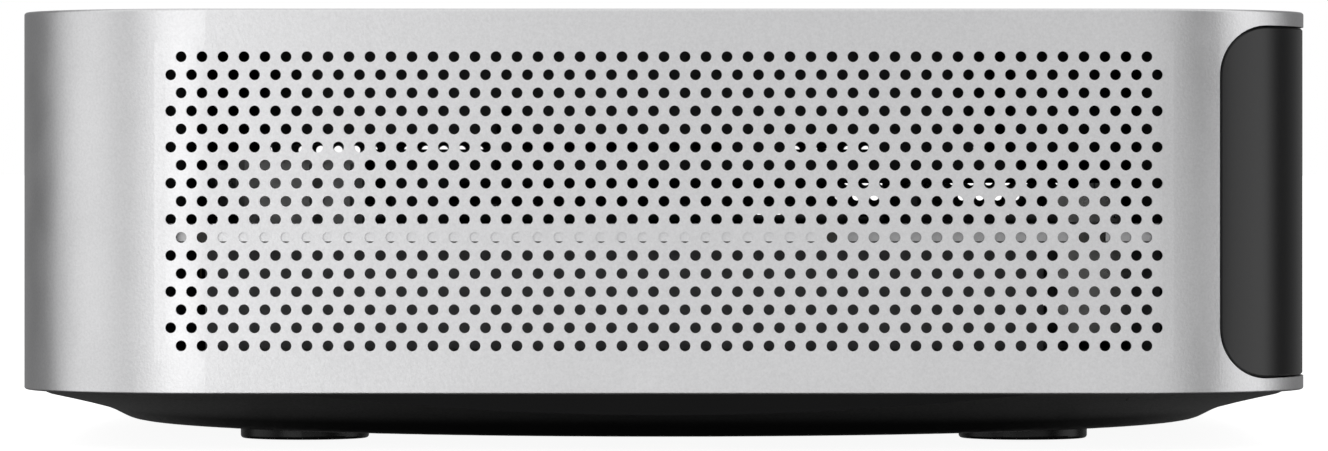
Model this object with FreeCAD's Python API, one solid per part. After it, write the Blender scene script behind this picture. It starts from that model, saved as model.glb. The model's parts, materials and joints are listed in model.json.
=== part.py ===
import FreeCAD, Part
import math
import os

# Mini PC: a square aluminium sleeve with perforated sides, a black rear panel and a round black base dish.
# Millimetres, +Z up. The origin is on the desk under the middle of the case, the front is -Y and the rear +Y.

V = FreeCAD.Vector
UP = V(0, 0, 1)
os.makedirs("parts", exist_ok=True)

# ---- sleeve ------------------------------------------------------------------------------------
HALF = 56.2  # half of the case's width and depth
CORNER_R = 17.0
TOP = 37.8
SLEEVE_Z = 4.8  # lower edge of the aluminium sleeve
WALL = 1.5
TOP_WALL = 1.3
CEILING = TOP - TOP_WALL
INNER = HALF - WALL
TOP_ROUND = 0.25
RIM_ROUND = 0.2

# perforated field of each side wall: rows of one hole less alternate with full rows
HOLE_D = 0.93
HOLE_PITCH = 1.795
ROW_PITCH = 1.545
ROWS = 17
FULL_ROW = 48
FIELD_TOP_Z = 33.69
FIELD_HALF = 43.6
FIELD_Z = (7.7, 35.0)
FIELD_WALL = 0.7  # the wall is milled thinner behind the holes
# stiffening ribs behind the field at the board's height: ends along Y, depth of the blind holes in front
RIB_Z, RIB_IN = (17.9, 19.4), 54.1
RIBS = [((-42.6, -40.6), 0.7), ((-38.6, 13.3), 0.3), ((15.4, 34.9), 0.7), ((37.8, 42.6), 0.7)]

# opening at the back of the sleeve, which wraps round both rear corners
OPENING_Y = 47.7
OPENING_Z = (6.0, CEILING)
OPENING_R = 4.4
PANEL_GAP = 0.12
PANEL_T = 2.0
PANEL_OUT = HALF - 0.08
PANEL_R = CORNER_R - 0.08
PANEL_IN = PANEL_OUT - PANEL_T
PANEL_BEVEL = 0.15
VENT_PITCH, VENT_COUNT, VENT_W, VENT_Z = 2.6, 23, 1.6, (27.6, 34.6)

# ---- base dish ---------------------------------------------------------------------------------
DISH_Z = 0.9  # underside
# radius and height along the curved flank, from the flat underside to the straight slope under the sleeve
FLANK = [(48.4, 0.9), (49.9, 1.1), (51.2, 1.72), (52.5, 2.22), (54.4, 2.68), (56.6, 3.18)]
SLOPE_END = (64.1, SLEEVE_Z)
BASE_HALF = 55.95
BASE_R = CORNER_R - HALF + BASE_HALF
FLOOR_T = 1.5
FLOOR_Z = DISH_Z + FLOOR_T
DECK_Z = 6.0  # upper face of the ledge around the dish's pocket
POCKET_R = 48.3
LIP_HALF = INNER - 0.15
LIP_R = CORNER_R - WALL - 0.15
LIP_T, LIP_Z = 1.4, 7.4
SLOT_PITCH_X, SLOT_PITCH_Y, SLOT_L, SLOT_W, SLOT_ROWS, SLOT_REACH = 9.0, 3.4, 6.8, 1.6, 5, 24.0
FOOT_X, FOOT_Y, FOOT_R, FOOT_SINK, FOOT_ROUND = 27.5, 32.2, 5.75, 0.8, 0.3
SCREW_SEAT_Z, SCREW_HEAD_R, SCREW_HEAD_T = 5.5, 2.4, 0.8
SCREW_WELL_R, COVER_R, COVER_TOP = 2.75, 2.7, 4.65
INSERT_X, INSERT_R, INSERT_BORE_R, INSERT_LEN = 40.0, 2.6, 1.65, 4.5

# ---- main board --------------------------------------------------------------------------------
BOARD_Z, BOARD_T = 17.8, 1.6
BOARD_TOP = BOARD_Z + BOARD_T
BOARD_HALF, BOARD_FRONT, BOARD_REAR, BOARD_R = 53.4, -52.6, 50.0, 14.0
POST_X, POST_Y, POST_R = 45.0, 43.0, 3.2
THREAD_R, STUD_R = 1.25, 1.2

# socket outlines: width, height, corner radius, depth
TYPE_A = (13.1, 5.4, 0.5, 14.0)
TYPE_C = (8.94, 3.26, 1.6, 9.0)
VIDEO = (15.0, 5.6, 0.9, 12.0)
NETWORK = (16.0, 13.4, 0.4, 21.0)
POWER = (9.0, 9.0, 0.6, 13.0)
# plastic tongues inside the sockets: width, height, lift above the shell's underside
TYPE_A_TONGUE = (10.6, 1.8, 2.9)
TYPE_C_TONGUE = (6.7, 0.7, 1.28)
VIDEO_TONGUE = (11.5, 1.1, 2.6)
SHELL_T, SHELL_BACK, PORT_GAP = 0.3, 2.5, 0.2

FRONT_Z = 22.25  # middle height of everything on the front
FRONT_MOUTH = -INNER + 0.1
REAR_MOUTH = HALF - 0.3
FRONT_TYPE_A_X = (-31.0, -14.0)
FRONT_TYPE_C_X = 0.0
AUDIO_X, AUDIO_R, AUDIO_BORE_R, AUDIO_LEN = 11.0, 2.7, 1.8, 13.1
AUDIO_MOUTH = -HALF + 0.5  # the audio socket's nose reaches into its hole in the sleeve
BUTTON_X, BUTTON_R, BUTTON_HOLE_R, BUTTON_FLANGE_R, BUTTON_STEM_R = 33.0, 5.0, 5.15, 5.9, 1.6
LIGHT_X, LIGHT_R = 23.5, 0.6
REAR_TYPE_A_X = (-31.0, -15.5)
REAR_TYPE_C_X = (-3.0, 8.0)
TYPE_C_LIFT = 0.6
VIDEO_X = (-21.5, -4.5)
NETWORK_X, NETWORK_Z = 27.0, 8.7
POWER_X = -36.0
POWER_BORE_R, POWER_BORE_LEN, POWER_PIN_R = 3.1, 9.5, 1.2

# ---- memory and cards --------------------------------------------------------------------------
MEMORY_Y = (-39.4, 32.6)  # ends of the memory sockets
MODULE_Y = (-38.2, 31.4)  # ends of the modules
MODULE_REACH, MODULE_T = 30.0, 1.0
# each socket: outer x, lowest z, height of its module, width
MEMORY = {"upper": (53.4, 8.6, 10.1, 8.1), "lower": (44.8, 12.6, 14.1, 6.5)}
SOCKET_BITE = 3.2
LATCH_LEN, LATCH_T, LATCH_GAP, LATCH_PIN_R = 15.0, 0.6, 0.4, 0.35
DRIVE_X, DRIVE_Y, DRIVE_Z = (-16.0, 6.0), (-46.0, 34.0), 13.0
WIRELESS_X, WIRELESS_Y, WIRELESS_Z = (-45.0, -23.0), (3.0, 33.0), 15.2
CARD_T, CHIP_T = 0.8, 1.2
SPREADER_X, SPREADER_HALF_Y, SPREADER_TOP, STEP_TOP = (-20.0, 10.0), 51.2, 7.5, 10.3
SPREADER_SCREW_X, SPREADER_SCREW_Y = -5.0, 49.7
SMALL_SHANK_R, SMALL_HEAD_R, SMALL_HEAD_T = 0.8, 1.9, 0.7

# ---- cooler ------------------------------------------------------------------------------------
CHIP_Y = -5.0
DIE_TOP = 20.9
PLATE_Z, PLATE_TOP = 22.8, 25.85
WING_X, WING_Y, WING_Z = (28.9, 44.0), (-10.4, 30.9), (23.6, 25.2)
# raised lips along the wing's outer edge, as high as the fan's underside
WING_LIPS, WING_LIP_W = ((5.5, 10.4), (17.9, 27.0)), 2.0
FAN_Y = -3.0
FAN_HALF, FAN_R = 33.4, 6.0
FAN_Z, FAN_LID_Z, FAN_TOP = 26.4, 34.8, 35.4
FAN_FLOOR = FAN_Z + 0.8
SCROLL_R = 31.0
HUB_R, HUB_T, BLADE_R, BLADES, BLADE_T = 10.5, 0.8, 29.0, 31, 0.56
SHAFT_R, SHAFT_GAP = 1.0, 0.04
BEARING_R, STATOR_R, MAGNET_R = 2.4, 8.4, 8.9
PIPE_W, PIPE_T, PIPE_BEND = 8.0, 2.0, 14.0
FIN_Y, FIN_HALF, FIN_PITCH, FIN_T = (31.2, 47.0), 30.0, 2.0, 0.4
CLAMP_X, CLAMP_Y, CLAMP_SEAT = 24.5, 22.5, 1.2

# ---- leads -------------------------------------------------------------------------------------
FAN_LEAD_R, FAN_LEAD_BEND = 0.8, 1.2
ANTENNA_Z, ANTENNA_T = (23.0, 32.0), 0.3
ANTENNA_LEAD_R, ANTENNA_LEAD_BEND = 0.45, 2.2


# ---- shape helpers -----------------------------------------------------------------------------
def span(middle, width):
    return middle - width / 2, middle + width / 2


def box(x, y, z):
    """A box between two limits along each axis."""
    return Part.makeBox(x[1] - x[0], y[1] - y[0], z[1] - z[0], V(x[0], y[0], z[0]))


def cylinder(x, y, z, radius):
    """An upright cylinder between two heights."""
    return Part.makeCylinder(radius, z[1] - z[0], V(x, y, z[0]), UP)


def rod(x, z, y, radius):
    """A cylinder lying along Y between two depths."""
    return Part.makeCylinder(radius, y[1] - y[0], V(x, y[0], z), V(0, 1, 0))


def ring(x, y, z, outer, inner):
    return cylinder(x, y, z, outer).cut(cylinder(x, y, (z[0] - 1, z[1] + 1), inner))


def rounded_wire(a, b, r, place):
    """A closed rounded rectangle. place(u, v) turns its two limits into points."""
    (u0, u1), (v0, v1) = a, b
    k = r * (1 - math.sqrt(0.5))
    corners = [
        ((u1 - r, v0), (u1 - k, v0 + k), (u1, v0 + r)),
        ((u1, v1 - r), (u1 - k, v1 - k), (u1 - r, v1)),
        ((u0 + r, v1), (u0 + k, v1 - k), (u0, v1 - r)),
        ((u0, v0 + r), (u0 + k, v0 + k), (u0 + r, v0)),
    ]
    edges = []
    for i, corner in enumerate(corners):
        start, middle, end = (place(*p) for p in corner)
        edges.append(Part.Arc(start, middle, end).toShape())
        following = place(*corners[(i + 1) % 4][0])
        if end.distanceToPoint(following) > 1e-6:
            edges.append(Part.makeLine(end, following))
    return Part.Wire(edges)


def slab(x, y, z, r):
    """An upright prism with rounded corners in plan."""
    wire = rounded_wire(x, y, r, lambda u, v: V(u, v, z[0]))
    return Part.Face(wire).extrude(V(0, 0, z[1] - z[0]))


def square_slab(half, r, z):
    return slab((-half, half), (-half, half), z, r)


def bar_along_y(x, z, y, r):
    """A prism along Y with rounded corners, such as a socket's outline."""
    wire = rounded_wire(x, z, r, lambda u, v: V(u, y[0], v))
    return Part.Face(wire).extrude(V(0, y[1] - y[0], 0))


def bar_along_x(y, z, x, r):
    wire = rounded_wire(y, z, r, lambda u, v: V(x[0], u, v))
    return Part.Face(wire).extrude(V(x[1] - x[0], 0, 0))


def hexagon(x, y, z, across):
    reach = across / math.sqrt(3)
    angles = [math.pi / 3 * i for i in range(7)]
    points = [V(x + reach * math.cos(a), y + reach * math.sin(a), z[0]) for a in angles]
    return Part.Face(Part.makePolygon(points)).extrude(V(0, 0, z[1] - z[0]))


def turned(shape, y, angle):
    """The shape turned about the upright axis and moved along Y."""
    shape.rotate(V(), UP, angle)
    shape.translate(V(0, y, 0))
    return shape


def fused(first, *others):
    return first.fuse(list(others)).removeSplitter()


def in_corners(shape):
    """The shape, made at +X and +Y, repeated in all four corners."""
    across = shape.mirror(V(), V(1, 0, 0))
    return [s for one in (shape, across) for s in (one, one.mirror(V(), V(0, 1, 0)))]


def group(solids):
    return Part.makeCompound(list(solids))


def smooth_path(points, radius):
    """A wire through the points with straight runs and tangent arcs."""
    edges = []
    start = points[0]
    for before, corner, after in zip(points, points[1:], points[2:]):
        a = (before - corner).normalize()
        b = (after - corner).normalize()
        turn = math.pi - a.getAngle(b)
        back = radius * math.tan(turn / 2)
        middle = (a + b).normalize() * (radius / math.cos(turn / 2) - radius)
        edges.append(Part.makeLine(start, corner + a * back))
        edges.append(Part.Arc(corner + a * back, corner + middle, corner + b * back).toShape())
        start = corner + b * back
    edges.append(Part.makeLine(start, points[-1]))
    return Part.Wire(edges)


def lead(points, radius, bend):
    """A round lead along straight runs joined by arcs."""
    circle = Part.Wire(Part.makeCircle(radius, points[0], points[1] - points[0]))
    return smooth_path(points, bend).makePipeShell([circle], True, False)


def screw(x, y, seat_z, tip_z, head_r, head_t, shank_r):
    """A cross-recess screw whose head bears at seat_z. It points up if its tip is higher."""
    up = 1 if tip_z > seat_z else -1
    face = seat_z - up * head_t
    head = cylinder(x, y, sorted((seat_z, face)), head_r)
    shank = cylinder(x, y, sorted((seat_z, tip_z)), shank_r)
    arm, slot = head_r * 1.2, head_r * 0.26
    deep = sorted((face - up, face + up * head_t * 0.6))
    cross = [box(span(x, arm), span(y, slot), deep), box(span(x, slot), span(y, arm), deep)]
    return head.fuse(shank).cut(cross).removeSplitter()


# ---- sleeve ------------------------------------------------------------------------------------
def sleeve_walls():
    """The bare sleeve before any opening is cut."""
    outer = square_slab(HALF, CORNER_R, (SLEEVE_Z, TOP))
    upper = [e for e in outer.Edges if e.BoundBox.ZMin > TOP - 1e-6]
    outer = outer.makeFillet(TOP_ROUND, upper)
    lower = [e for e in outer.Edges if e.BoundBox.ZMax < SLEEVE_Z + 1e-6]
    outer = outer.makeFillet(RIM_ROUND, lower)
    return outer.cut(square_slab(INNER, CORNER_R - WALL, (SLEEVE_Z - 1, CEILING)))


def rear_opening(gap=0.0):
    """The block that cuts the sleeve for the rear panel, drawn in by a gap."""
    y = (OPENING_Y + gap, HALF + 20)
    z = (OPENING_Z[0] + gap, OPENING_Z[1] - gap)
    return bar_along_x(y, z, (-HALF - 5, HALF + 5), OPENING_R - gap)


def field_window(side):
    """The block around one side's perforated field: side is 1 for +X and -1 for -X."""
    x = sorted((side * (HALF - 5), side * (HALF + 1)))
    return box(x, (-FIELD_HALF, FIELD_HALF), FIELD_Z)


def front_cutouts():
    y = (-HALF - 1, -INNER + 0.5)
    cuts = [socket_block(x, TYPE_A, FRONT_Z - TYPE_A[1] / 2, y, -0.15) for x in FRONT_TYPE_A_X]
    cuts.append(socket_block(FRONT_TYPE_C_X, TYPE_C, FRONT_Z - TYPE_C[1] / 2, y, 0.0))
    cuts.append(rod(AUDIO_X, FRONT_Z, y, AUDIO_R + 0.1))
    cuts.append(rod(BUTTON_X, FRONT_Z, y, BUTTON_HOLE_R))
    cuts.append(rod(LIGHT_X, FRONT_Z, y, LIGHT_R + 0.02))
    return cuts


def socket_block(x, size, low, y, gap):
    """A prism of a socket's outline, larger by the gap all round."""
    width, height, r, _ = size
    return bar_along_y(span(x, width + 2 * gap), (low - gap, low + height + gap), y, r + min(gap, r) / 2)


def unibody_shell():
    openings = [rear_opening(), field_window(1), field_window(-1)]
    walls = sleeve_walls().cut(openings + front_cutouts())
    post = cylinder(POST_X, POST_Y, (BOARD_TOP, CEILING), POST_R)
    post = post.cut(cylinder(POST_X, POST_Y, (BOARD_TOP - 1, BOARD_TOP + 9), THREAD_R))
    return fused(walls, *in_corners(post))


def side_grille(side):
    """The perforated part of one side wall, drilled along X, with blind holes in front of its ribs."""
    window = field_window(side)
    thin = square_slab(HALF - FIELD_WALL, CORNER_R - FIELD_WALL, (SLEEVE_Z - 1, CEILING))
    wall = sleeve_walls().common(window).cut(thin)
    holes = []
    for row in range(ROWS):
        count = FULL_ROW - 1 if row % 2 == 0 else FULL_ROW
        for i in range(count):
            y = (i - (count - 1) / 2) * HOLE_PITCH
            mouth = V(side * (HALF - 3), y, FIELD_TOP_Z - row * ROW_PITCH)
            holes.append(Part.makeCylinder(HOLE_D / 2, 5, mouth, V(side, 0, 0)))
    field = wall.cut(group(holes))
    outside = square_slab(HALF, CORNER_R, FIELD_Z)
    ribs = []
    for y, depth in RIBS:
        behind = square_slab(HALF - depth, CORNER_R - depth, FIELD_Z)
        bar = box(sorted((side * RIB_IN, side * HALF)), y, RIB_Z)
        ribs.append(bar.common(behind).common(outside))
    return field.fuse(ribs)


# ---- rear panel --------------------------------------------------------------------------------
def rear_ports():
    """Middle x, outline and lowest z of each rear socket."""
    ports = [(x, TYPE_A, BOARD_TOP) for x in REAR_TYPE_A_X]
    ports += [(x, TYPE_C, BOARD_TOP + TYPE_C_LIFT) for x in REAR_TYPE_C_X]
    ports += [(x, VIDEO, BOARD_Z - VIDEO[1]) for x in VIDEO_X]
    ports.append((NETWORK_X, NETWORK, NETWORK_Z))
    ports.append((POWER_X, POWER, BOARD_Z - POWER[1]))
    return ports


def port_holes(y):
    return [socket_block(x, size, low, y, PORT_GAP) for x, size, low in rear_ports()]


def rear_panel():
    z = (OPENING_Z[0] + PANEL_GAP, OPENING_Z[1] - PANEL_GAP)
    hollow = square_slab(PANEL_IN, PANEL_R - PANEL_T, (z[0] - 1, z[1] + 1))
    panel = square_slab(PANEL_OUT, PANEL_R, z).cut(hollow).common(rear_opening(PANEL_GAP))
    panel = panel.makeChamfer(PANEL_BEVEL, outer_rim(panel))
    y = (PANEL_IN - 1, HALF + 1)
    places = [(i - (VENT_COUNT - 1) / 2) * VENT_PITCH for i in range(VENT_COUNT)]
    slots = [bar_along_y(span(x, VENT_W), VENT_Z, y, VENT_W / 2 - 0.01) for x in places]
    return panel.cut(slots + port_holes(y))


def outer_rim(panel):
    """The edges around the panel's outer face: those with both neighbours, one of them on the outline."""
    rim = []
    for edge in panel.Edges:
        middle = edge.valueAt((edge.FirstParameter + edge.LastParameter) / 2)
        ends = [v.Point for v in edge.Vertexes] + [middle]
        upright = len(edge.Vertexes) == 2 and abs(edge.tangentAt(edge.FirstParameter).z) > 0.999
        joint = upright and abs(abs(middle.x) - PANEL_OUT + PANEL_R) < 0.01
        if all(outline_distance(p) < 0.01 for p in ends) and not joint:
            rim.append(edge)
    return rim


def outline_distance(point):
    """How far a point lies from the panel's outer outline in plan."""
    straight = PANEL_OUT - PANEL_R
    x, y = max(abs(point.x) - straight, 0.0), max(abs(point.y) - straight, 0.0)
    return abs(math.hypot(x, y) - PANEL_R)


def io_bracket():
    """A thin steel plate behind the rear panel that grounds the sockets, with a tab on the board."""
    y = (PANEL_IN - 0.6, PANEL_IN - 0.2)
    plate = box((-41.0, 37.5), y, (7.6, 26.6))
    tab = box((12.8, 17.8), (47.0, y[1]), (BOARD_TOP, BOARD_TOP + 0.4))
    return fused(plate, tab).cut(port_holes((y[0] - 1, y[1] + 1)))


# ---- base --------------------------------------------------------------------------------------
def dish_body():
    """The round dish, cut off where its slope would stand out under the sleeve's straight sides."""
    points = [V(r, 0, z) for r, z in FLANK]
    end, low, high = V(SLOPE_END[0], 0, SLOPE_END[1]), V(0, 0, DISH_Z), V(0, 0, SLEEVE_Z)
    flank = Part.BSplineCurve()
    flank.interpolate(points, InitialTangent=V(1, 0, 0), FinalTangent=(end - points[-1]).normalize())
    lines = [Part.makeLine(low, points[0]), flank.toShape(), Part.makeLine(points[-1], end)]
    lines += [Part.makeLine(end, high), Part.makeLine(high, low)]
    dish = Part.Face(Part.Wire(lines)).revolve(V(), UP, 360)
    return dish.common(square_slab(BASE_HALF, BASE_R, (DISH_Z - 1, SLEEVE_Z)))


def foot_pad(z):
    """One round foot at +X and +Y."""
    return cylinder(FOOT_X, FOOT_Y, z, FOOT_R)


def dish_vents():
    """Rows of short slots in the dish's floor, inside a circle."""
    slots = []
    z = (DISH_Z - 1, FLOOR_Z + 1)
    for row in range(-SLOT_ROWS, SLOT_ROWS + 1):
        y = row * SLOT_PITCH_Y
        count = int(2 * math.sqrt(SLOT_REACH**2 - y**2) // SLOT_PITCH_X)
        for i in range(count):
            x = (i - (count - 1) / 2) * SLOT_PITCH_X
            slots.append(slab(span(x, SLOT_L), span(y, SLOT_W), z, SLOT_W / 2 - 0.01))
    return slots


def base_dish():
    deck = square_slab(LIP_HALF, LIP_R, (SLEEVE_Z, DECK_Z))
    lip = square_slab(LIP_HALF, LIP_R, (DECK_Z, LIP_Z))
    lip = lip.cut(square_slab(LIP_HALF - LIP_T, LIP_R - LIP_T, (DECK_Z - 1, LIP_Z + 1)))
    lip = lip.cut(box((-HALF, HALF), (OPENING_Y - 0.4, HALF), (DECK_Z - 1, LIP_Z + 1)))
    body = dish_body().fuse([deck, lip]).cut(cylinder(0, 0, (FLOOR_Z, DECK_Z + 1), POCKET_R))
    bosses = [cylinder(x, 0, (FLOOR_Z - 0.1, DECK_Z), INSERT_R + 1.6) for x in (-INSERT_X, INSERT_X)]
    body = fused(body, *bosses)
    insert_z = (DISH_Z - 1, DISH_Z + INSERT_LEN)
    cuts = dish_vents() + [cylinder(x, 0, insert_z, INSERT_R) for x in (-INSERT_X, INSERT_X)]
    cuts += in_corners(foot_pad((DISH_Z - 1, DISH_Z + FOOT_SINK)))
    cuts += in_corners(cylinder(POST_X, POST_Y, (DISH_Z, SCREW_SEAT_Z), SCREW_WELL_R))
    cuts += in_corners(cylinder(POST_X, POST_Y, (DISH_Z, DECK_Z + 1), 1.7))
    cuts += [cylinder(SPREADER_SCREW_X, y, (SLEEVE_Z, DECK_Z + 1), SMALL_SHANK_R) for y in spreader_screws()]
    return body.cut(cuts)


def rubber_feet():
    foot = foot_pad((0, DISH_Z + FOOT_SINK))
    lower = [e for e in foot.Edges if e.BoundBox.ZMax < 1e-6]
    return group(in_corners(foot.makeFillet(FOOT_ROUND, lower)))


def threaded_inserts():
    z = (DISH_Z, DISH_Z + INSERT_LEN)
    return group(ring(x, 0, z, INSERT_R, INSERT_BORE_R) for x in (-INSERT_X, INSERT_X))


def screw_covers():
    """Thin caps that close the screw wells flush with the dish's slope."""
    return group(in_corners(dish_body().common(cylinder(POST_X, POST_Y, (DISH_Z, COVER_TOP), COVER_R))))


def base_and_clamp_screws():
    """Four screws that hold the base and four that press the cooler onto the processor."""
    head = (SCREW_HEAD_R, SCREW_HEAD_T, STUD_R)
    made = in_corners(screw(POST_X, POST_Y, SCREW_SEAT_Z, 11.5, *head))
    return group(made + in_corners(screw(CLAMP_X, CLAMP_Y, PLATE_TOP - CLAMP_SEAT, BOARD_Z, *head)))


# ---- main board and sockets --------------------------------------------------------------------
def main_board():
    z = (BOARD_Z - 1, BOARD_TOP + 1)
    board = slab((-BOARD_HALF, BOARD_HALF), (BOARD_FRONT, BOARD_REAR), (BOARD_Z, BOARD_TOP), BOARD_R)
    bay_y = (REAR_MOUTH - NETWORK[3] - PORT_GAP, BOARD_REAR + 1)
    cuts = [box(span(NETWORK_X, NETWORK[0] + 2 * PORT_GAP), bay_y, z)]
    cuts += in_corners(cylinder(POST_X, POST_Y, z, 1.7))
    cuts += in_corners(cylinder(CLAMP_X, CLAMP_Y, z, STUD_R))
    cuts += [cylinder(x, y, z, SMALL_SHANK_R) for x, y, _ in card_posts()]
    return board.cut(cuts)


def board_standoffs():
    post = hexagon(POST_X, POST_Y, (DECK_Z, BOARD_Z), 5.0)
    post = post.cut(cylinder(POST_X, POST_Y, (DECK_Z - 1, DECK_Z + 8), THREAD_R))
    stud = cylinder(POST_X, POST_Y, (BOARD_Z, BOARD_TOP + 7), STUD_R)
    return group(in_corners(post.fuse(stud)))


def metal_socket(x, size, tongue, low, mouth, inward):
    """A socket's sheet shell, closed at the back, and its plastic tongue. inward is +1 or -1 along Y."""
    width, height, r, depth = size
    back = mouth + inward * (depth - SHELL_BACK)
    shell = bar_along_y(span(x, width), (low, low + height), sorted((mouth, mouth + inward * depth)), r)
    room_z = (low + SHELL_T, low + height - SHELL_T)
    room_y = sorted((mouth - inward, back))
    room = bar_along_y(span(x, width - 2 * SHELL_T), room_z, room_y, max(r - SHELL_T, 0.1))
    tongue_w, tongue_h, lift = tongue
    blade = box(span(x, tongue_w), sorted((mouth + inward, back)), (low + lift, low + lift + tongue_h))
    return shell.cut(room), blade


def sockets():
    """The shells of each kind of socket and all their tongues, by node name."""
    front_a = FRONT_Z - TYPE_A[1] / 2
    front_c = FRONT_Z - TYPE_C[1] / 2
    type_a = [metal_socket(x, TYPE_A, TYPE_A_TONGUE, front_a, FRONT_MOUTH, 1) for x in FRONT_TYPE_A_X]
    type_a += [metal_socket(x, TYPE_A, TYPE_A_TONGUE, BOARD_TOP, REAR_MOUTH, -1) for x in REAR_TYPE_A_X]
    rear_c = BOARD_TOP + TYPE_C_LIFT
    type_c = [metal_socket(FRONT_TYPE_C_X, TYPE_C, TYPE_C_TONGUE, front_c, FRONT_MOUTH, 1)]
    type_c += [metal_socket(x, TYPE_C, TYPE_C_TONGUE, rear_c, REAR_MOUTH, -1) for x in REAR_TYPE_C_X]
    video = [metal_socket(x, VIDEO, VIDEO_TONGUE, BOARD_Z - VIDEO[1], REAR_MOUTH, -1) for x in VIDEO_X]
    kinds = {"type_a_shells": type_a, "type_c_shells": type_c, "video_shells": video}
    nodes = {name: group(shell for shell, _ in made) for name, made in kinds.items()}
    nodes["port_tongues"] = group(blade for made in kinds.values() for _, blade in made)
    return nodes


def port_risers():
    """Plastic blocks under the sockets that don't rest on the board."""
    near = BOARD_FRONT + 0.6
    blocks = [
        box(span(x, 12.0), (near, near + 10.4), (BOARD_TOP, FRONT_Z - TYPE_A[1] / 2)) for x in FRONT_TYPE_A_X
    ]
    c_front = (near, FRONT_MOUTH + TYPE_C[3])
    blocks.append(box(span(FRONT_TYPE_C_X, 8.0), c_front, (BOARD_TOP, FRONT_Z - TYPE_C[1] / 2)))
    c_rear = (REAR_MOUTH - TYPE_C[3], BOARD_REAR)
    blocks += [box(span(x, 8.0), c_rear, (BOARD_TOP, BOARD_TOP + TYPE_C_LIFT)) for x in REAR_TYPE_C_X]
    return group(blocks)


def audio_jack():
    back = AUDIO_MOUTH + AUDIO_LEN
    body = box(span(AUDIO_X, 6.4), (FRONT_MOUTH + 2.2, back + 1), (BOARD_TOP, FRONT_Z + 2.9))
    nose = rod(AUDIO_X, FRONT_Z, (AUDIO_MOUTH, back + 1), AUDIO_R)
    return fused(body, nose).cut(rod(AUDIO_X, FRONT_Z, (AUDIO_MOUTH - 1, back), AUDIO_BORE_R))


def network_port():
    """The shielded network socket, with its plug bay, tab notch and two lamp windows."""
    width, height, _, depth = NETWORK
    z0, z1 = NETWORK_Z, NETWORK_Z + height
    shell = socket_block(NETWORK_X, NETWORK, NETWORK_Z, (REAR_MOUTH - depth, REAR_MOUTH), 0.0)
    bay_y = (REAR_MOUTH - 12.5, REAR_MOUTH + 1)
    cuts = [box(span(NETWORK_X, 11.8), bay_y, (z0 + 3.6, z1 - 2.4))]
    cuts.append(box(span(NETWORK_X, 6.4), bay_y, (z0 + 1.9, z0 + 3.7)))
    for side in (-1, 1):
        lamp_x = NETWORK_X + side * (width / 2 - 2.6)
        cuts.append(box(span(lamp_x, 2.6), (REAR_MOUTH - 0.8, REAR_MOUTH + 1), (z1 - 1.9, z1 - 0.7)))
    return shell.cut(cuts)


def port_contacts():
    """Eight sprung contacts in the roof of the network socket, and the power socket's centre pin."""
    roof = NETWORK_Z + NETWORK[1] - 2.4
    places = [NETWORK_X + (i - 3.5) * 1.02 for i in range(8)]
    wires = [box(span(x, 0.44), (REAR_MOUTH - 11.5, REAR_MOUTH - 3.0), (roof - 0.5, roof)) for x in places]
    pin_y = (REAR_MOUTH - POWER_BORE_LEN, REAR_MOUTH - 0.8)
    wires.append(rod(POWER_X, BOARD_Z - POWER[1] / 2, pin_y, POWER_PIN_R))
    return group(wires)


def power_jack():
    body = socket_block(POWER_X, POWER, BOARD_Z - POWER[1], (REAR_MOUTH - POWER[3], REAR_MOUTH), 0.0)
    bore_y = (REAR_MOUTH - POWER_BORE_LEN, REAR_MOUTH + 1)
    return body.cut(rod(POWER_X, BOARD_Z - POWER[1] / 2, bore_y, POWER_BORE_R))


def processor():
    package = box((-20.0, 20.0), span(CHIP_Y, 25.0), (BOARD_TOP, BOARD_TOP + 0.8))
    die = box((-10.0, 10.0), span(CHIP_Y, 13.0), (BOARD_TOP + 0.8, DIE_TOP))
    return fused(package, die)


def inductors():
    """A row of low moulded inductors in front of the processor and two pairs by the side wall."""
    coils = [box(span(-24.5 + 7.5 * i, 6.4), (-37.4, -31.0), (BOARD_TOP, BOARD_TOP + 2.8)) for i in range(6)]
    coils += [box((48.6, 52.6), y, (BOARD_TOP, BOARD_TOP + 5.1)) for y in ((-34.7, -30.5), (-29.2, -27.0))]
    coils.append(box((43.6, 47.2), (-36.4, -26.2), (BOARD_TOP, BOARD_TOP + 5.5)))
    return group(coils)


def capacitors():
    """Solid-polymer cans along the left edge of the board."""
    return group(cylinder(-47.5, -26.0 + 6.5 * i, (BOARD_TOP, BOARD_TOP + 5.2), 2.6) for i in range(4))


def controller_chips():
    """Flat chips on both faces of the board, low enough to leave the air path over them open."""
    places = [(38.5, 24.5, 9.0), (39.0, -5.0, 6.0), (-38.0, 23.0, 10.0), (-38.5, -3.5, 5.0)]
    chips = [box(span(x, size), span(y, size), (BOARD_TOP, BOARD_TOP + 1.0)) for x, y, size in places]
    chips.append(box((-36.0, -28.0), (-46.0, -40.0), (BOARD_Z - 1.0, BOARD_Z)))
    return group(chips)


def coin_cell():
    return cylinder(-36.0, -22.0, (BOARD_Z - 3.4, BOARD_Z), 10.4)


def power_switch():
    body = box(span(BUTTON_X, 6.4), (BOARD_FRONT + 0.8, BOARD_FRONT + 4.4), (BOARD_TOP, FRONT_Z + 2.4))
    return fused(body, rod(BUTTON_X, FRONT_Z, (BOARD_FRONT + 0.3, BOARD_FRONT + 0.9), 1.2))


def power_button():
    face = rod(BUTTON_X, FRONT_Z, (-HALF, -INNER + 0.2), BUTTON_R)
    front = [e for e in face.Edges if e.BoundBox.YMax < -HALF + 1e-6]
    face = face.makeFillet(0.25, front)
    flange = rod(BUTTON_X, FRONT_Z, (-INNER + 0.1, -INNER + 0.8), BUTTON_FLANGE_R)
    stem = rod(BUTTON_X, FRONT_Z, (-INNER + 0.7, BOARD_FRONT - 0.4), BUTTON_STEM_R)
    return fused(face, flange, stem)


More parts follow.
